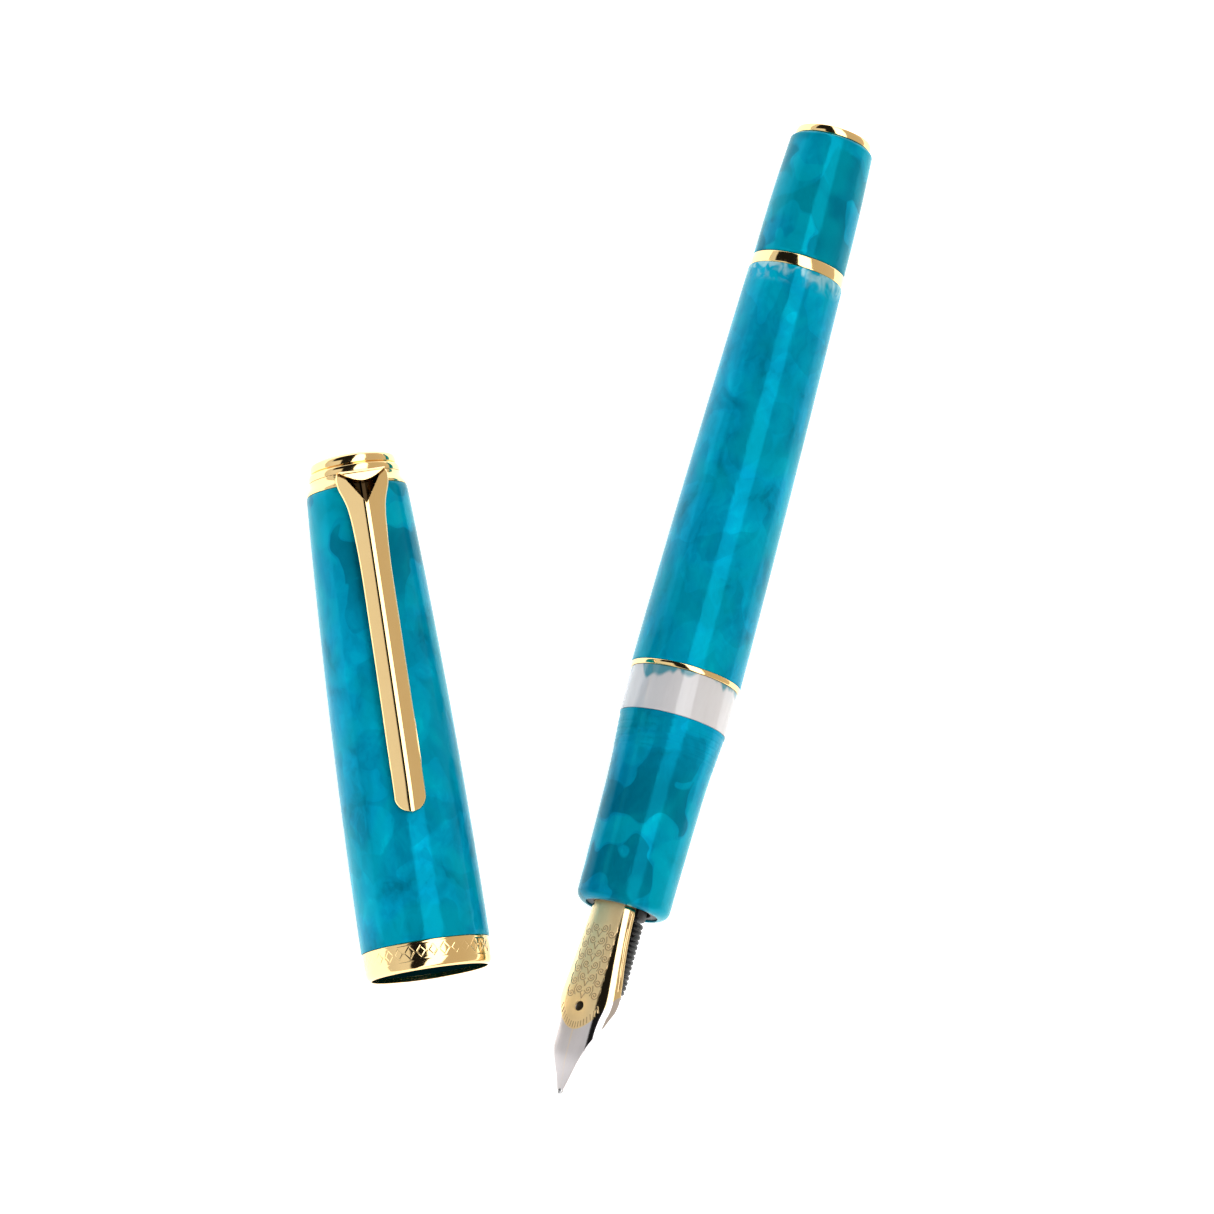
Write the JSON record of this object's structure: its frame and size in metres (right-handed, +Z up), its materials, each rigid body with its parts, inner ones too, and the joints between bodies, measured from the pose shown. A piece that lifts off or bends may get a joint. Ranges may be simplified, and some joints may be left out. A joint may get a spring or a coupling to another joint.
{
  "type": "fountain pen",
  "caption": "Piston-filling fountain pen with a gold-trimmed pearlescent barrel, clear ink window and turning knob, lying beside its clipped screw cap.",
  "frame": {"origin": "middle of the underside of the whole, on the surface that the pen and its cap lie on", "axes": "+Z up; +Y along the pen, seen from above, from the nib towards the knob; +X to the right when the nib points at the viewer; the cap lies on the -X side"},
  "size_m": [0.056, 0.1208, 0.0163],
  "materials": {
    "resin_teal": "polished pearlescent teal acrylic with cloudy flakes that catch the light",
    "gold_plated_metal": "polished pale gold plating",
    "nib_two_tone": "polished gold plating with a bare bright steel point and a shallow engraved ornament",
    "nib_tipping": "ground and polished hard metal",
    "clear_acrylic": "clear polished acrylic",
    "feed_black": "satin black moulded plastic",
    "black_plastic": "satin black moulded plastic",
    "rubber_seal": "matt black rubber",
    "plain_brass": "machined brass",
    "rod_steel": "machined stainless steel",
    "pale_plastic": "smooth off-white plastic"
  },
  "bodies": {
    "pen_body": {"section": "resin_teal", "ink_chamber": "clear_acrylic", "chamber_seal": "rubber_seal", "barrel_ring": "gold_plated_metal", "barrel": "resin_teal", "knob_ring": "gold_plated_metal", "nib": "nib_two_tone", "nib_tipping": "nib_tipping", "feed": "feed_black", "nib_collar": "black_plastic", "piston_housing": "black_plastic", "housing_seal": "rubber_seal", "rod_guide": "pale_plastic", "retaining_ring": "plain_brass"},
    "filler_knob": {"knob": "resin_teal", "knob_finial": "gold_plated_metal", "drive_sleeve": "plain_brass"},
    "piston": {"piston_rod": "rod_steel", "piston_head": "pale_plastic", "piston_o_rings": "rubber_seal"},
    "cap": {"cap_tube": "resin_teal", "cap_band": "gold_plated_metal", "cap_thread_ring": "gold_plated_metal", "inner_cap": "black_plastic", "clip_ring": "gold_plated_metal", "cap_finial": "gold_plated_metal", "finial_bush": "plain_brass"},
    "clip": {"clip": "gold_plated_metal"}
  },
  "joints": [
    {"name": "knob_turn", "type": "hinge", "parent": "pen_body", "child": "filler_knob", "pos_m": [0.0212, 0.05029, 0.00571], "axis": [0, 0.9998, -0.0175], "range_deg": [0, 2160]},
    {"name": "piston_travel", "type": "slide", "parent": "pen_body", "child": "piston", "axis": [0, -0.9998, 0.0175], "range_m": [0, 0.024]},
    {"name": "cap_pull", "type": "slide", "parent": "pen_body", "child": "cap", "axis": [-0.4147, 0.91, 0], "range_m": [0, 0.05]},
    {"name": "clip_flex", "type": "hinge", "parent": "cap", "child": "clip", "pos_m": [-0.02316, 0.0009, 0.01176], "axis": [-0.9038, -0.4149, -0.1045], "range_deg": [0, 3], "stiffness_Nm_per_rad": 0.5}
  ],
  "couplings": [
    {"joint": "piston_travel", "follows": "knob_turn", "m_per_rad": 0.00063661}
  ]
}
